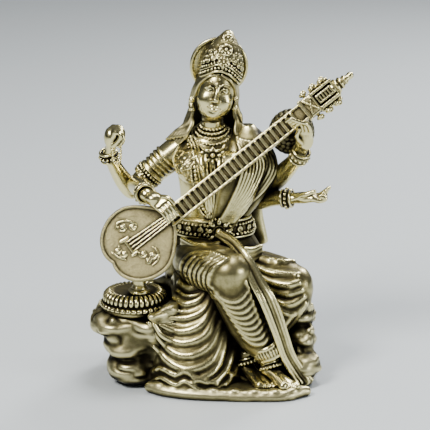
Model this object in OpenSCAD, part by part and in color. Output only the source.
// Seated four-armed figure with a long-necked lute, in cast brass pieces that are pinned together.
// Row frame: +Z up, the figure faces -Y, the origin is at the bottom centre of the whole statuette.

/* [Rock base] */
// Height of the hollow under the rock
hollow_h = 25; // [18:0.5:25]
// Radius of the hollow at its wider end
hollow_r = 16; // [13:0.5:16]
// Height of the flat shelf that carries the cushion
shelf_z = 28.5; // [28:0.5:30]

/* [Cushion] */
// Radius of the round cushion
cushion_r = 13.8; // [12:0.1:14.5]
// Height of the cushion
cushion_h = 9.6; // [8:0.1:10.5]

/* [Head] */
// Radius of the round halo plate
halo_r = 11.6; // [9:0.1:12.5]
// Thickness of the halo plate
halo_t = 1.3; // [0.8:0.1:2]
// Height of the crown
crown_h = 19.4; // [15:0.2:20]
// Lean of the head, crown and halo towards the figure's left
head_lean = 11; // [6:0.5:12]

/* [Lute] */
// Radius of the gourd under the upper end of the neck
gourd_r = 9.3; // [8:0.1:9.6]
// Width of the neck
neck_w = 7; // [5.6:0.1:7.2]
// Thickness of the neck
neck_t = 3.4; // [2.6:0.1:4]
// Number of frets
fret_count = 24; // [12:1:26]
// Number of strings
string_count = 4; // [2:1:5]
// Depth of the bowl behind the soundboard
bowl_d = 9; // [6:0.5:10]
// Number of tuning pegs on each side
pegs_per_side = 3; // [1:1:3]

/* [Jewellery] */
// Radius of the beads of the long necklace
bead_r = 0.75; // [0.5:0.05:0.8]
// Radius of the beads of the string in the raised hand
prayer_bead_r = 0.55; // [0.4:0.05:0.6]
// Radius of the round wire of the bangles
bangle_wire_r = 0.9; // [0.6:0.05:1.1]

/* [Fixing pins] */
// Radius of the dowel pins that join the castings
pin_r = 1.1; // [0.9:0.05:1.2]
// Radial clearance of a pin in its bore
pin_gap = 0.03; // [0.02:0.01:0.08]

/* [Hidden] */
$fn = 32;

brass = [0.75, 0.62, 0.34];
dark_brass = [0.5, 0.4, 0.22];
pale_brass = [0.86, 0.77, 0.5];

// The figure's own points: x to its left, y to its back, z up.
shoulder_r = [-17.5, 8, 91.5];
shoulder_l = [10.5, 8, 91];
elbow_plucking = [-34, 7, 77];
wrist_plucking = [-30, -18, 79.6];
knuckles_plucking = [-23.6, -23.4, 77];
elbow_raised = [-36.5, 16, 72];
wrist_raised = [-45.6, 10, 88.4];
elbow_fretting = [18.5, 10, 76];
wrist_fretting = [30.6, -5, 92.5];
palm_fretting = [32.3, -11, 101];
elbow_giving = [13.5, 12, 69.5];
wrist_giving = [25.6, 0, 73];
palm_giving = [34, -2, 74];
knee_r = [1.6, -23.5, 50];
ankle_r = [18.2, -22.6, 14];
toes_r = [27.4, -33, 5.1];
knee_l = [30, -6, 38];
ankle_l = [9.4, -17, 11.5];
toes_l = [18, -30.5, 4.2];
waist = [-3.8, 5, 69];
neck_base = [-4.2, 6, 99.5];
crown_seat = [-1.2, 4.4, 120.5];
halo_centre = [-1.4, 12.6, 124.5];
cushion_centre = [-35, -9.6];

// The lute's own frame: x along the neck, z out of the soundboard.
bowl_centre = [-32.5, -21, 61];
neck_dir = unit([54.4, 13, 41.2]);
board_roll = 20;
neck_start = 15;
neck_end = 83;
peg_box_end = 98;
gourd_along = 74.5;
gourd_side = -1.2;
bowl_len = 16;
bowl_half_w = 15.4;

function unit(v) = v / norm(v);
function side_of(t, ref) = unit(cross(ref, t));

// One ring of n points round c, a wide and b deep, square to the direction t.
function ring(c, a, b, t, ref, n) =
    let (s = side_of(t, ref), d = cross(t, s))
    [for (k = [0:n - 1]) c + a * cos(360 * k / n) * s + b * sin(360 * k / n) * d];

// A closed skin over rings. Each section is [centre, half width, half depth]; ref sets the depth's direction.
// The rings are square to the path unless level is true, which keeps them all horizontal.
module loft(sections, ref = [0, 1, 0], n = 16, level = false) {
    last = len(sections) - 1;
    dirs = [for (i = [0:last]) level
        ? [0, 0, 1] : unit(sections[min(i + 1, last)][0] - sections[max(i - 1, 0)][0])];
    points = [for (i = [0:last])
        each ring(sections[i][0], sections[i][1], sections[i][2], dirs[i], ref, n)];
    sides = [for (i = [0:last - 1], k = [0:n - 1])
        let (a = i * n + k, b = i * n + (k + 1) % n)
        each [[a, a + n, b + n], [a, b + n, b]]];
    bottom = [for (k = [0:n - 1]) k];
    top = [for (k = [n - 1:-1:0]) last * n + k];
    polyhedron(points, concat([bottom], sides, [top]));
}

// The first child less the others, as one closed mesh, so that the castings meet without sharing space.
module fitted() {
    resize([0, 0, 0])
        difference() {
            children(0);
            for (i = [1:1:$children - 1]) children(i);
        }
}

// Turns +Z to the direction v.
module along(v) {
    u = unit(v);
    rotate([0, acos(u[2]), atan2(u[1], u[0])]) children();
}

module torus(r, wire, fn = 48) {
    rotate_extrude($fn = fn) translate([r, 0]) circle(wire, $fn = 20);
}

// Dowels: [centre, direction, half length].
head_dowel = [neck_base + [0, 0, 0.5], [0, 0, 1], 4];
arm_dowels = [
    [[-18.5, 5.5, 91], [1, 0, 0], 4.5],
    [[-17.5, 11, 87], [1, -0.2, 0.2], 4],
    [[11.5, 5.5, 90.5], [1, 0, 0], 4.5],
    [[9.5, 10.5, 86], [1, 0.2, -0.3], 4],
];
cushion_dowel = [[cushion_centre[0], cushion_centre[1], shelf_z], [0, 0, 1], 4.2];
seat_stud = [[-2, 10, 42], [0, 0, 1], 7];
stud_r = 2;

module dowel(d, r) {
    translate(d[0]) along(d[1]) cylinder(h = 2 * d[2], r = r, center = true);
}
module bore(d, r = pin_r) { dowel(d, r + pin_gap); }

// ---- Rock base -------------------------------------------------------------------------------------------
// Each row is [height, radii at equal angles round rock_centre, starting at +X and turning to the back].
rock_centre = [-5, -2];
rock_rows = [
    [0, [42, 39, 37, 36, 36, 37, 34, 36, 39, 29, 28, 31, 32.5, 36.5, 46, 44]],
    [2.4, [43, 40, 38, 37, 37, 38, 35, 37, 40, 30, 29, 31, 32, 36, 45.4, 43]],
    [4.6, [43, 40, 38, 37, 37, 38, 36, 38, 41, 33, 29, 26, 24, 17, 16, 25]],
    [12, [40, 38, 37, 36, 36, 37, 35, 37, 38, 34, 28, 22, 19, 13, 14, 20]],
    [16, [40, 38, 36, 35, 35, 36, 34, 37, 40, 36, 28, 20, 17, 12, 13, 19]],
    [22, [41.6, 39, 35, 33, 32, 33, 34, 40, 47, 41, 33, 20, 16, 12, 13, 20]],
    [27, [41, 37, 33, 31, 30, 32, 34, 40, 47, 42, 34, 19, 14, 11, 13, 20]],
    [32, [37, 34, 31, 29, 29, 30, 31, 38, 44, 40, 32, 17, 12, 11, 13, 18]],
    [37, [30, 28, 26, 26, 26, 26, 24, 24, 22, 18, 13, 11, 10, 10, 12, 16]],
    [41, [21, 20, 19, 20, 20, 20, 17, 15, 12, 9, 8, 7, 7, 7, 8, 12]],
];
module rock_skin(rows, centre) {
    n = len(rows[0][1]);
    points = [for (row = rows, k = [0:n - 1])
        [centre[0] + row[1][k] * cos(360 * k / n), centre[1] + row[1][k] * sin(360 * k / n), row[0]]];
    last = len(rows) - 1;
    sides = [for (i = [0:last - 1], k = [0:n - 1])
        let (a = i * n + k, b = i * n + (k + 1) % n)
        each [[a, a + n, b + n], [a, b + n, b]]];
    polyhedron(points, concat([[for (k = [0:n - 1]) k]], sides, [[for (k = [n - 1:-1:0]) last * n + k]]));
}
module rock_solid() { rock_skin(rock_rows, rock_centre); }
module cushion_space() {
    translate([cushion_centre[0], cushion_centre[1], shelf_z]) cylinder(h = 30, r = cushion_r + 2);
}
// The hollow under the rock, narrower towards its top and towards the figure's left, closed below the seat.
module cavity() {
    hull() {
        translate([-24, 6, -1]) cylinder(h = hollow_h + 1, r1 = hollow_r, r2 = hollow_r - 4);
        translate([11, 6, -1]) cylinder(h = hollow_h + 1, r1 = hollow_r - 3, r2 = hollow_r - 7);
    }
}
module rock_base() {
    color(dark_brass)
        fitted() {
            rock_solid();
            cavity();
            cushion_space();
            bore(cushion_dowel);
            bore(seat_stud, stud_r);
        }
}

// A round seat cushion: a narrow foot, two stacked rolls and a flat top.
module cushion() {
    r = cushion_r;
    h = cushion_h;
    roll = h * 0.24;
    color(brass)
        translate([cushion_centre[0], cushion_centre[1], shelf_z])
            difference() {
                rotate_extrude($fn = 64) difference() {
                    union() {
                        polygon([[0, 0], [r - 2.4, 0], [r - roll * 0.4, h * 0.3],
                            [r - roll * 1.6, h], [0, h]]);
                        translate([r - roll, h * 0.42]) circle(roll);
                        translate([r - roll * 1.5, h - roll]) circle(roll);
                    }
                    translate([-2 * r, -r]) square([2 * r, 3 * r]);
                }
                translate([0, 0, -1]) cylinder(h = 1 + cushion_dowel[2] + 0.4, r = pin_r + pin_gap);
            }
}

module figure_stud() { color(brass) dowel(seat_stud, stud_r); }

module dowel_pins() {
    color(brass) {
        dowel(head_dowel, pin_r);
        dowel(cushion_dowel, pin_r);
        for (d = arm_dowels) dowel(d, pin_r);
    }
}

// ---- Lower body ------------------------------------------------------------------------------------------
module hips_form() {
    loft([[[-1, 7, 35], 21, 16], [[-2, 6, 42], 21.5, 16.5], [[-3, 5, 49], 19.5, 14.6],
        [[-3.5, 5, 55], 16.5, 12], [[-3.5, 5.5, 60], 13.5, 9.6]], n = 24, level = true);
}
module right_leg_form() {
    loft([[[-12, 4, 47.5], 9.4, 9], [[-9.6, -6, 49], 9.8, 9], [[-5.4, -15, 49.6], 9.6, 9],
        [knee_r + [-1.2, 1, 0], 9.2, 8.8], [knee_r + [0.6, -4, -1], 6.2, 6]], ref = [0, 0, 1], n = 20);
    loft([[knee_r + [-0.6, 2.5, 3.4], 7, 6.5], [knee_r + [1, 0.8, -0.6], 8.7, 8.7],
        [knee_r + [3, 0.5, -8], 8.9, 8.3], [knee_r + [5.2, 0.5, -13], 8.9, 8],
        [knee_r + [8.4, 1, -22], 8, 7.4], [ankle_r + [-5, 0.3, 8], 7, 6.4],
        [ankle_r + [-1.6, 0.2, 3], 5.2, 5]], n = 20);
}
module left_leg_form() {
    loft([[[6, 4, 44], 8, 8.5], [[14, 2, 42.4], 8.2, 9.4], [[22, -2, 41], 8.2, 9.6], [knee_l, 7.6, 8.8],
        [knee_l + [3.2, -1, -1.5], 4.8, 5.5]], n = 20);
    loft([[knee_l + [0, -1, 1], 6, 6], [knee_l + [-1, -1, -4], 7.6, 7.2], [[22, -9.5, 27], 6.4, 6],
        [[15, -12.5, 19], 5, 4.8], [ankle_l + [1.2, 0.6, 2.4], 4, 3.8]]);
}
// The cloth that hangs from the lap over the rock, from its hem upwards.
module drape_form() {
    loft([[[-11, -14, 2.8], 19, 20], [[-11.5, -13, 9], 18, 18.4], [[-11.5, -11, 17], 18.6, 17],
        [[-9.5, -8, 26], 18.4, 17], [[-6.6, -5, 36], 16.6, 15.5], [[-5, -3, 44], 14, 13]],
        n = 28, level = true);
}
module skirt() {
    color(brass) difference() {
        fitted() {
            hips_form();
            rock_solid();
            torso_form();
        }
        bore(seat_stud, stud_r);
    }
}
module skirt_drape() {
    color(brass) fitted() {
        drape_form();
        rock_solid();
        cushion_space();
        hips_form();
        right_leg_form();
        left_leg_form();
        sash_form();
    }
}
module right_leg() {
    color(brass) fitted() {
        right_leg_form();
        hips_form();
        rock_solid();
        torso_form();
    }
}
module left_leg() {
    color(brass) fitted() {
        left_leg_form();
        hips_form();
        right_leg_form();
        rock_solid();
    }
}

// A bare foot from the ankle to the toes, with a heel and five toes fanned across its front.
module foot_form(ankle, toes) {
    way = unit([toes[0] - ankle[0], toes[1] - ankle[1], 0]);
    across = [-way[1], way[0], 0];
    heel = [ankle[0], ankle[1], toes[2] + 1.8] - 2.4 * way;
    loft([[heel - 1.6 * way, 1.4, 1.4], [heel, 2.7, 2.8], [heel + 3 * way, 3, 3.2],
        [heel + 7.5 * way, 3.2, 2.6], [toes - 5 * way, 3.8, 1.9], [toes - 2 * way, 3.6, 1.4]],
        ref = [0, 0, 1], n = 14);
    loft([[ankle + [0, 0, 3.4], 3, 3], [heel + [0, 0, 4.5] + 2 * way, 2.6, 2.6],
        [heel + 2.6 * way, 2.5, 2.6]], n = 14);
    for (k = [-2:2])
        let (root = toes + 1.5 * k * across - (2.6 + 0.3 * abs(k)) * way)
        loft([[root, 0.86, 1], [root + 2.4 * way, 0.84, 0.9], [root + 3.6 * way, 0.4, 0.4]],
            ref = [0, 0, 1], n = 9);
}
module right_foot() {
    color(pale_brass) fitted() {
        foot_form(ankle_r, toes_r);
        right_leg_form();
        rock_solid();
        drape_form();
    }
}
module left_foot() {
    color(pale_brass) fitted() {
        foot_form(ankle_l, toes_l);
        left_leg_form();
        rock_solid();
        drape_form();
        foot_form(ankle_r, toes_r);
        right_leg_form();
    }
}

module cuff_form() {
    translate(ankle_r + [0.6, 0, -0.8]) rotate([0, -24, 0]) cylinder(h = 4.6, r1 = 5.4, r2 = 6);
}
module right_ankle_cuff() {
    color(pale_brass) fitted() {
        cuff_form();
        right_leg_form();
        sash_form();
        foot_form(ankle_r, toes_r);
    }
}
// A ring of beads round an ankle, square to the direction v.
module anklet(c, v, r, count) {
    translate(c) along(v) for (k = [0:count - 1]) rotate(360 * k / count) translate([r, 0, 0]) sphere(0.7);
}
module right_anklet() { color(pale_brass) anklet(ankle_r + [1, -0.8, -3.4], [-0.3, 0.35, 1], 4, 15); }
module left_anklet() { color(pale_brass) anklet(ankle_l + [0.8, -0.8, -0.8], [-0.3, 0.3, 1], 3.9, 15); }

module sash_form() {
    loft([[[-1, -9.5, 58], 2.2, 1.4], [[4, -16, 57], 3, 1.4], [[9.2, -24.6, 53], 3.4, 1.5],
        [[13.8, -29.4, 46], 3.8, 1.5], [[17.6, -30.2, 39.6], 4, 1.5], [[20.6, -29.2, 31.5], 4, 1.5],
        [[23.4, -28, 23.4], 4, 1.5], [[26.2, -25.8, 15], 4, 1.5], [[31, -22.5, 6.4], 4.4, 1.4]], n = 12);
}
module sash() {
    color(pale_brass) fitted() {
        sash_form();
        right_leg_form();
        left_leg_form();
        hips_form();
        rock_solid();
        belt_form();
        foot_form(ankle_r, toes_r);
    }
}

// ---- Upper body ------------------------------------------------------------------------------------------
torso_rows = [
    [[-3.4, 5.6, 57], 13.6, 9.8], [[-3.6, 5, 63], 13, 8.8], [waist, 12.6, 8.4], [[-3.8, 4.6, 78], 13.4, 8.8],
    [[-3.8, 4.4, 85], 14.6, 9.4], [[-3.8, 5.4, 91], 15.4, 8.4], [[-4, 6, 95], 12, 7.2],
    [[-4.1, 6, 98.4], 6.4, 5.6],
];
breasts = [[-11.6, -2.4, 86.6], [4.4, -2.4, 87]];
breast_r = 6.4;
// The trunk's centre and half sizes at the height z, as [centre x, centre y, half width, half depth].
function torso_at(z) =
    [for (get = [0:3])
        lookup(z, [for (row = torso_rows) [row[0][2], get < 2 ? row[0][get] : row[get - 1]]])];
// How far forward the chest comes at x, z: the trunk, or a breast where that stands further out.
function trunk_front(x, z) =
    let (t = torso_at(z)) t[1] - t[3] * sqrt(max(0, 1 - pow((x - t[0]) / t[2], 2)));
function breast_front(b, x, z) =
    let (d = pow(breast_r, 2) - pow(x - b[0], 2) - pow(z - b[2], 2)) d > 0 ? b[1] - sqrt(d) : 99;
function chest_front(x, z) = min(trunk_front(x, z), breast_front(breasts[0], x, z),
    breast_front(breasts[1], x, z));

module torso_form() {
    loft(torso_rows, n = 24, level = true);
    for (b = breasts)
        loft([[b + [0, 4, 0], 6.6, 6.6], [b, 6.3, 6.3], [b - [0, 3.4, 0], 5.2, 5.2], [b - [0, 5.6, 0], 3, 3],
            [b - [0, 6.3, 0], 1, 1]], ref = [0, 0, 1]);
}
module torso() {
    color(pale_brass) difference() {
        fitted() { torso_form(); bore(head_dowel); }
        for (d = arm_dowels) bore(d);
    }
}
module shoulder_drape_form() {
    loft([[[8, 9, 97], 4.5, 6], [[7.4, 0, 94], 5, 3.6], [[6, -7.2, 86], 5.5, 2.6], [[4, -5.4, 76], 6, 2.4],
        [[1, -4.4, 66], 5, 2.2], [[-1, -5, 61.5], 3.6, 1.8]], n = 14);
    loft([[[10, 8, 96], 4.5, 5], [[9, 15, 90], 6, 2.4], [[8, 17, 75], 7, 2], [[9, 17.5, 60], 7.5, 2],
        [[12, 18, 48], 7, 1.8]], n = 14);
}
module shoulder_drape() {
    color(brass) fitted() {
        shoulder_drape_form();
        torso_form();
        fretting_arm_form();
        giving_arm_form();
        hips_form();
        rock_solid();
        hair_form();
        head_form();
        belt_form();
    }
}
module belt_form() {
    loft([[[-3.3, 5.4, 57.6], 15.6, 11.4], [[-3.2, 5.2, 59.5], 15.8, 11.6], [[-3.3, 5, 63.5], 14.8, 10.6],
        [[-3.5, 5, 65], 13.8, 9.4]], n = 24, level = true);
}
module waist_belt() {
    color(dark_brass) fitted() {
        belt_form();
        torso_form();
        hips_form();
        right_leg_form();
    }
}
module belt_buckle() {
    petals = 8;
    color(pale_brass) translate([-1.4, -6.6, 61.6]) rotate([90, 0, 0]) {
        cylinder(h = 1.8, r = 2.1);
        for (k = [0:petals - 1]) rotate(360 * k / petals) translate([3.2, 0, 0]) cylinder(h = 1.3, r = 0.95);
    }
}

// ---- Head ------------------------------------------------------------------------------------------------
module head_form() {
    loft([[[-4.2, 6, 98.4], 4.6, 4.4], [[-4.2, 5.6, 101.5], 4.4, 4.2], [[-4.5, 4.2, 105], 4.2, 4.6],
        [[-4.7, 2.4, 107.2], 4.6, 5.4], [[-4.1, 2.6, 110.5], 6.4, 6.8], [[-3.2, 3.4, 115], 7, 7.6],
        [[-2.2, 4.2, 120], 7, 7.8], [[-1.4, 4.8, 124], 5.8, 6.6], [[-0.9, 5.2, 126.5], 2.8, 3.4]]);
}
module head() {
    color(pale_brass) difference() {
        fitted() { head_form(); torso_form(); }
        bore(head_dowel);
    }
}
module hair_form() {
    loft([[[-1.6, 9.4, 124], 6, 3.6], [[-2.2, 10.2, 118], 8.6, 5.2], [[-3.2, 11, 110], 9, 5.6],
        [[-4, 13, 100], 12, 4.8], [[-4, 14.6, 90], 12.4, 3.6], [[-4, 15, 78], 10.5, 2.8],
        [[-4, 15, 66], 7, 2.2]]);
}
module hair() {
    color(dark_brass) fitted() {
        hair_form();
        head_form();
        torso_form();
        raised_arm_form();
        giving_arm_form();
    }
}
module right_lock_form() {
    loft([[[-10.6, 5.6, 116], 1.6, 2.6], [[-11.2, 6, 109], 1.9, 2.8], [[-12.6, 5, 103], 2.4, 2.6],
        [[-16.4, 4, 98.4], 2.6, 2.2], [[-20, 4.4, 96.4], 1.8, 1.6]], n = 12);
}
module left_lock_form() {
    loft([[[5.6, 6.2, 117], 1.6, 2.6], [[5, 6.6, 110], 1.9, 2.8], [[5.6, 5.4, 103], 2.3, 2.6],
        [[8, 3.4, 97.8], 2.3, 2]], n = 12);
}
module right_lock() {
    color(dark_brass) fitted() {
        right_lock_form();
        head_form();
        hair_form();
        torso_form();
        plucking_arm_form();
    }
}
module left_lock() {
    color(dark_brass) fitted() {
        left_lock_form();
        head_form();
        hair_form();
        torso_form();
        shoulder_drape_form();
    }
}
module crown_form() {
    h = crown_h;
    translate(crown_seat) rotate([-14, head_lean, 0])
        rotate_extrude($fn = 40)
            polygon([[0, 0], [7.9, 0], [8.3, h * 0.1], [8.4, h * 0.3], [7.2, h * 0.53], [4.5, h * 0.77],
                [2.7, h * 0.92], [1.2, h * 0.98], [0, h]]);
}
module crown() {
    color(dark_brass) fitted() {
        crown_form();
        head_form();
        hair_form();
    }
}
module halo() {
    rim = 0.9;
    color(pale_brass) fitted() {
        translate(halo_centre) rotate([90, head_lean, 0])
            rotate_extrude($fn = 48)
                polygon([[0, -halo_t / 2], [halo_r, -halo_t / 2], [halo_r, halo_t / 2 + rim],
                    [halo_r - rim, halo_t / 2 + rim], [halo_r - 2 * rim, halo_t / 2],
                    [0, halo_t / 2]]);
        hair_form();
        crown_form();
        head_form();
    }
}
module earring(c) {
    translate(c) sphere(1.1);
    translate(c - [0, 0, 2.1]) cylinder(h = 2.6, r1 = 1.5, r2 = 0.5);
}
module right_earring() { color(pale_brass) earring([-12.2, 1.6, 110.4]); }
module left_earring() { color(pale_brass) earring([4.9, 1.8, 111]); }
module choker() {
    color(pale_brass) fitted() {
        translate([-4.3, 5.6, 99.6]) rotate([12, 0, 0])
            rotate_extrude($fn = 32) translate([5.6, 0]) circle(1.5, $fn = 8);
        head_form();
        torso_form();
        hair_form();
    }
}
module pendant() {
    color(pale_brass) translate([-3.9, chest_front(-3.9, 92.4) + 0.6, 92.4]) rotate([104, 0, 0]) {
        cylinder(h = 2, r = 1.8);
        for (k = [0:7]) rotate(45 * k) translate([2.8, 0, 0]) cylinder(h = 1.5, r = 0.8);
    }
}
// The long necklace: two strands down the chest joined by a half circle above the belt. s runs along it
// from its lowest point, positive to the figure's left.
loop_r = 5.6;
strand = 24;
function necklace_xz(s) =
    let (turn = loop_r * PI / 2, u = abs(s), side = sign(s))
    u < turn
        ? [-3.8 + side * loop_r * sin(u / loop_r * 180 / PI), 74 - loop_r * cos(u / loop_r * 180 / PI)]
        : [-3.8 + side * (loop_r + 0.12 * (u - turn)), 74 + u - turn];
module bead_necklace() {
    reach = loop_r * PI / 2 + strand - 1;
    pitch = 2 * bead_r + 0.35;
    color(pale_brass) for (s = [-reach:pitch:reach])
        let (p = necklace_xz(s))
        translate([p[0], chest_front(p[0], p[1]) - bead_r * 0.8, p[1]]) sphere(bead_r);
}

// ---- Arms ------------------------------------------------------------------------------------------------
// A finger or thumb along its joints, getting thinner from its root.
module finger(joints, r) {
    last = len(joints) - 1;
    loft([for (i = [0:last]) [joints[i], r * (1 - 0.16 * i), r * (1 - 0.16 * i)]], ref = [0.3, 0.4, 0.86],
        n = 8);
}
module plucking_arm_form() {
    loft([[shoulder_r + [2, 0, 2], 4, 4.4], [shoulder_r + [-2.6, 0, 0], 5.4, 5.4],
        [[-25, 7.4, 85.6], 5.2, 5.2], [[-31, 7, 79.6], 4.6, 4.6],
        [elbow_plucking + [-0.6, -0.8, -0.6], 3.6, 3.6]]);
    loft([[elbow_plucking + [0, 2, -0.5], 3.2, 3.2], [elbow_plucking + [0.6, -4, 0.6], 3.9, 3.9],
        [[-31.4, -8, 79.4], 3.6, 3.6], [wrist_plucking, 2.6, 2.6], [[-26, -21.4, 79.6], 3.2, 2.2],
        [knuckles_plucking, 3.3, 1.8]], ref = [0, 0, 1], n = 14);
    for (k = [0:3])
        finger([knuckles_plucking + [1.5 * k - 3, -0.4, 1.2 - 0.2 * k],
            knuckles_plucking + [1.3 * k - 1.2, -2, -2.6],
            knuckles_plucking + [1.2 * k + 0.2, -2.6, -5.6]], 0.95);
    finger([wrist_plucking + [3.6, -2.4, -0.4], knuckles_plucking + [2.6, -0.4, 1.4],
        knuckles_plucking + [4.4, -1.4, -1.6]], 1);
}
module raised_arm_form() {
    loft([[shoulder_r + [0, 4, -3], 4, 4], [[-25, 13, 82], 4.6, 4.4], [[-33, 15.6, 74.6], 4, 4],
        [elbow_raised + [-1.4, 0.4, -0.6], 3, 3]], n = 14);
    loft([[elbow_raised + [0.8, 0, -1.4], 3, 3], [elbow_raised + [-1.6, -0.4, 2.6], 3.7, 3.7],
        [[-42, 13, 80.6], 3, 3], [wrist_raised, 2.3, 2.3], [[-45, 9.4, 92.4], 3, 2.4],
        [[-44.6, 9, 97], 3.4, 2.6], [[-43, 8.4, 100.4], 2.8, 2.4]], n = 14);
    for (k = [0:3])
        finger([[-43.6 + 0.4 * k, 9.6 - 1.6 * k, 101 - 0.3 * k],
            [-40.6 + 0.2 * k, 8.4 - 1.8 * k, 101 - 0.4 * k],
            [-38.8, 7.8 - 1.8 * k, 97.6 - 0.4 * k], [-40.4, 7.6 - 1.8 * k, 94.6 - 0.3 * k]], 1.15);
    finger([[-43.6, 5.6, 93], [-41.4, 3.6, 95.6], [-40, 3, 98.4]], 1.1);
}
module fretting_arm_form() {
    loft([[shoulder_l + [-1, 0, 0], 4, 4.2], [shoulder_l + [2.4, 0, -2], 4.8, 4.8],
        [[15.6, 9, 82.6], 4.6, 4.6], [elbow_fretting + [0, 0.6, -0.6], 3.6, 3.6]], n = 14);
    loft([[elbow_fretting + [-1.8, 1, -2], 3.4, 3.4], [elbow_fretting + [2.4, -1.6, 2], 4.2, 4.2],
        [[25, 3, 83.6], 3.7, 3.7], [wrist_fretting, 2.4, 2.4], [[32.4, -9.4, 97], 3, 2],
        [palm_fretting, 3.2, 1.9], [palm_fretting + [-0.4, -1.6, 3], 2.8, 1.5]], n = 14);
    for (k = [0:3])
        finger([palm_fretting + [1.3 * k - 2.4, -1.6, 2.4 + 0.3 * k],
            palm_fretting + [1.1 * k - 3, -4, 6.4 + 0.2 * k],
            palm_fretting + [1.1 * k - 5.2, -4.8, 8.4 + 0.3 * k],
            palm_fretting + [1.1 * k - 7, -3.6, 7.2 + 0.3 * k]], 0.9);
}
module giving_arm_form() {
    loft([[shoulder_l + [-2, 4, -5], 3.6, 3.8], [[10.6, 12.6, 80], 4, 4],
        [elbow_giving + [-1, 0.6, 1], 3.6, 3.6]], n = 14);
    loft([[elbow_giving + [-2, 2, -0.6], 3.2, 3.2], [elbow_giving + [2, -2, 0.6], 3.8, 3.8],
        [[20, 5.6, 71.8], 3.4, 3.4], [wrist_giving, 2.5, 2.4], [[29, -1, 73.2], 2.9, 2],
        [palm_giving, 3.4, 1.9], [palm_giving + [2.6, -0.6, 0.4], 3, 1.4]],
        ref = [0, 0, 1], n = 14);
    for (k = [0:3])
        finger([palm_giving + [1.6, 1.8 - 1.5 * k, 0.2], palm_giving + [4.6, 1.6 - 1.6 * k, 0.4 - 0.3 * k],
            palm_giving + [6.8, 0.9 - 1.4 * k, 2.2 - 0.6 * k],
            palm_giving + [8.4 - 1.2 * k, 0.4 - 1.3 * k, 3.8 - 0.8 * k]], 0.95);
    finger([[29.6, -3, 74], [33, -5, 76], [36.4, -5.4, 77.4]], 1.05);
}
module plucking_arm() {
    color(pale_brass) difference() {
        fitted() {
            plucking_arm_form();
            torso_form();
            soundboard_keepout();
        }
        for (d = arm_dowels) bore(d);
    }
}
module raised_arm() {
    color(brass) difference() {
        fitted() {
            raised_arm_form();
            torso_form();
            plucking_arm_form();
        }
        for (d = arm_dowels) bore(d);
    }
}
module fretting_arm() {
    color(brass) difference() {
        fitted() {
            fretting_arm_form();
            torso_form();
            gourd_form();
            in_lute() neck_form();
        }
        for (d = arm_dowels) bore(d);
    }
}
module giving_arm() {
    color(brass) difference() {
        fitted() {
            giving_arm_form();
            torso_form();
            fretting_arm_form();
        }
        for (d = arm_dowels) bore(d);
    }
}
// A pair of rings and a row of beads round a wrist, square to the direction v.
module bangle(c, v, r) {
    translate(c) along(v) {
        for (s = [-1, 1]) translate([0, 0, 1.7 * s]) torus(r + bangle_wire_r, bangle_wire_r);
        difference() {
            cylinder(h = 2.4, r = r + 1.5, center = true);
            cylinder(h = 3, r = r + 0.02, center = true);
        }
    }
}
module plucking_bangle() {
    color(pale_brass) bangle(wrist_plucking + [-0.6, 1.6, -0.1], [0.2, -1, 0.1], 2.9);
}
module raised_bangle() { color(pale_brass) bangle(wrist_raised + [0.1, 0.2, -0.4], [-0.2, -0.3, 1], 2.6); }
module fretting_bangle() {
    color(pale_brass) bangle(wrist_fretting + [-0.2, 0.4, -0.6], [0.35, -0.6, 0.9], 2.8);
}
module giving_bangle() { color(pale_brass) bangle(wrist_giving + [0.2, 0, 0], [1, -0.35, 0.1], 2.8); }
module armlet() {
    color(pale_brass) fitted() {
        translate([-29.2, 7.1, 81.4]) along([0.72, 0, 0.7]) cylinder(h = 5, r = 6, center = true);
        plucking_arm_form();
        raised_arm_form();
    }
}

// A string of prayer beads that hangs as a loop from the raised fist.
module prayer_beads() {
    loop_w = 1.5;
    drop = 7.6;
    pitch = 2 * prayer_bead_r + 0.1;
    half_round = loop_w * PI / 2;
    color(pale_brass) translate([-42.2, 5, 87.4])
        for (s = [-drop - half_round:pitch:drop + half_round])
            let (u = abs(s), side = sign(s))
            translate(u < half_round
                ? [side * loop_w * sin(u / loop_w * 180 / PI), 0, -loop_w * cos(u / loop_w * 180 / PI)]
                : [side * loop_w, 0, u - half_round])
                sphere(prayer_bead_r, $fn = 16);
}

// ---- Lute ------------------------------------------------------------------------------------------------
module in_lute() {
    x = neck_dir;
    z0 = unit([0, -1, 0] - ([0, -1, 0] * x) * x);
    y0 = cross(z0, x);
    z = z0 * cos(board_roll) + y0 * sin(board_roll);
    y = cross(z, x);
    multmatrix([
        [x[0], y[0], z[0], bowl_centre[0]],
        [x[1], y[1], z[1], bowl_centre[1]],
        [x[2], y[2], z[2], bowl_centre[2]],
        [0, 0, 0, 1],
    ]) children();
}
// The leaf-shaped outline of the bowl: pointed towards the neck, with a shallow dent at its tail.
function leaf(a, s) =
    let (c = cos(a), k = abs(sin(a)))
    [s * (bowl_len * c + (c < 0 ? 2.2 * pow(1 - k, 2) : 0)),
     s * bowl_half_w * sin(a) * (c > 0 ? pow(1 - c * c * 0.82, 0.36) : 1)];
module leaf_plate(s, h) { linear_extrude(height = h) polygon([for (a = [0:7.5:352.5]) leaf(a, s)]); }
module bowl_form() {
    steps = [[0, 1], [-0.3, 1], [-0.6, 0.93], [-0.85, 0.74], [-1, 0.45]];
    n = 32;
    points = [for (s = steps, k = [0:n - 1])
        let (p = leaf(360 * k / n, s[1])) [p[0], p[1], bowl_d * s[0]]];
    last = len(steps) - 1;
    sides = [for (i = [0:last - 1], k = [0:n - 1])
        let (a = i * n + k, b = i * n + (k + 1) % n) each [[a, b, b + n], [a, b + n, a + n]]];
    polyhedron(points, concat([[for (k = [n - 1:-1:0]) k]], sides, [[for (k = [0:n - 1]) last * n + k]]));
}
module soundboard_keepout() { in_lute() leaf_plate(1, 1.9); }
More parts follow.
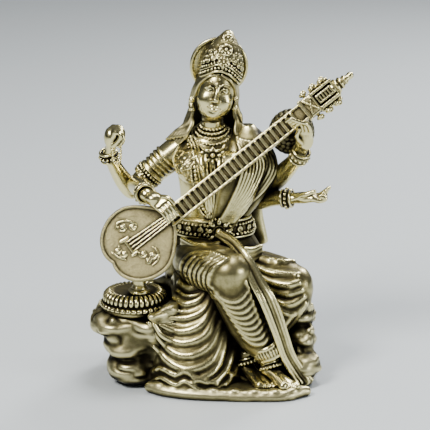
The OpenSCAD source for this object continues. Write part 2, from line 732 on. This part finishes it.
module lute_bowl() {
    color(brass) fitted() {
        in_lute() bowl_form();
        right_leg_form();
        hips_form();
        drape_form();
    }
}
module soundboard() {
    color(pale_brass) in_lute() {
        difference() {
            leaf_plate(1, 1.8);
            translate([0, 0, 1]) leaf_plate(0.93, 2);
        }
    }
}
module board_ornaments() {
    color(pale_brass) in_lute()
        for (p = [[-7, 7.2], [-8, -6.6], [-11, 0.6]]) translate([p[0], p[1], 1]) {
            difference() {
                cylinder(h = 0.6, r = 2);
                translate([0, 0, -1]) cylinder(h = 3, r = 1.2);
            }
            translate([2.4, 1.2, 0]) cylinder(h = 0.6, r = 0.8);
        }
}
module bridge() {
    color(pale_brass) in_lute() translate([-5.4, -3.2, 1]) cube([1.4, 6.4, 1.6]);
}
module strings() {
    pitch = 1.3;
    color(pale_brass) in_lute()
        for (i = [0:string_count - 1])
            translate([-5.4, pitch * (i - (string_count - 1) / 2), 2.9])
                rotate([0, 90, 0]) cylinder(h = 20, r = 0.28);
}
module neck_form() {
    translate([neck_start, -neck_w / 2, -neck_t + 1.6]) cube([neck_end - neck_start, neck_w, neck_t]);
}
module neck() {
    color(brass) in_lute() difference() {
        neck_form();
        leaf_plate(1, 1.8);
        translate([gourd_along, gourd_side, -neck_t - 1]) cylinder(h = 2.6, r = pin_r + pin_gap);
    }
}
module frets() {
    pitch = (neck_end - neck_start - 8) / fret_count;
    color(pale_brass) in_lute()
        for (i = [0:fret_count - 1])
            translate([neck_start + 5 + pitch * i, -neck_w / 2, 1.6]) cube([1.1, neck_w, 0.9]);
}
module gourd_form() {
    in_lute() translate([gourd_along, gourd_side, -neck_t - gourd_r - 1]) sphere(gourd_r);
}
module upper_gourd() {
    color(dark_brass) difference() {
        gourd_form();
        in_lute() translate([gourd_along, gourd_side, -neck_t - 4.4]) cylinder(h = 8, r = pin_r + pin_gap);
    }
}
module gourd_stem() {
    color(brass) in_lute() translate([gourd_along, gourd_side, -neck_t - 4.4]) cylinder(h = 5, r = pin_r);
}
module peg_box() {
    w = neck_w + 0.6;
    color(brass) in_lute() difference() {
        translate([neck_end, -w / 2, -neck_t + 1.4]) cube([peg_box_end - neck_end, w, neck_t + 0.8]);
        translate([neck_end + 3.6, -w / 2 + 1.7, 1.4]) cube([peg_box_end - neck_end - 5.6, w - 3.4, 2]);
    }
}
module tuning_pegs() {
    w = neck_w + 0.6;
    color(pale_brass) in_lute()
        for (s = [-1, 1], i = [0:pegs_per_side - 1])
            translate([neck_end + 3 + 4.4 * i, s * w / 2, -0.2]) rotate([-90 * s, 0, 0]) {
                cylinder(h = 0.8, r = 0.7);
                translate([0, 0, 0.8]) cylinder(h = 1.5, r1 = 1.3, r2 = 0.9);
            }
}
module finial() {
    color(pale_brass) in_lute() translate([peg_box_end, 0, 0]) rotate([0, 90, 0])
        rotate_extrude() polygon([[0, 0], [2.8, 0], [3, 1.2], [2, 2.2], [2.5, 3.3], [1.6, 4.4],
            [2, 5.4], [1.2, 6.4], [1.6, 7.4], [1.2, 8.6], [0, 9]]);
}
// The short foot by which the bowl stands over the cushion.
module lute_foot() {
    color(brass) fitted() {
        hull() {
            translate([cushion_centre[0] + 2, cushion_centre[1] - 4, shelf_z + cushion_h])
                cylinder(h = 1, r = 3);
            translate([-33, -15.5, 51]) sphere(2.4);
        }
        in_lute() bowl_form();
    }
}

rock_base();
cushion();
figure_stud();
dowel_pins();
skirt();
skirt_drape();
right_leg();
left_leg();
right_foot();
left_foot();
right_ankle_cuff();
right_anklet();
left_anklet();
sash();
torso();
shoulder_drape();
waist_belt();
belt_buckle();
head();
hair();
right_lock();
left_lock();
crown();
halo();
right_earring();
left_earring();
choker();
pendant();
bead_necklace();
plucking_arm();
raised_arm();
fretting_arm();
giving_arm();
prayer_beads();
plucking_bangle();
raised_bangle();
fretting_bangle();
giving_bangle();
armlet();
lute_bowl();
soundboard();
board_ornaments();
bridge();
lute_foot();
strings();
neck();
frets();
upper_gourd();
gourd_stem();
peg_box();
tuning_pegs();
finial();
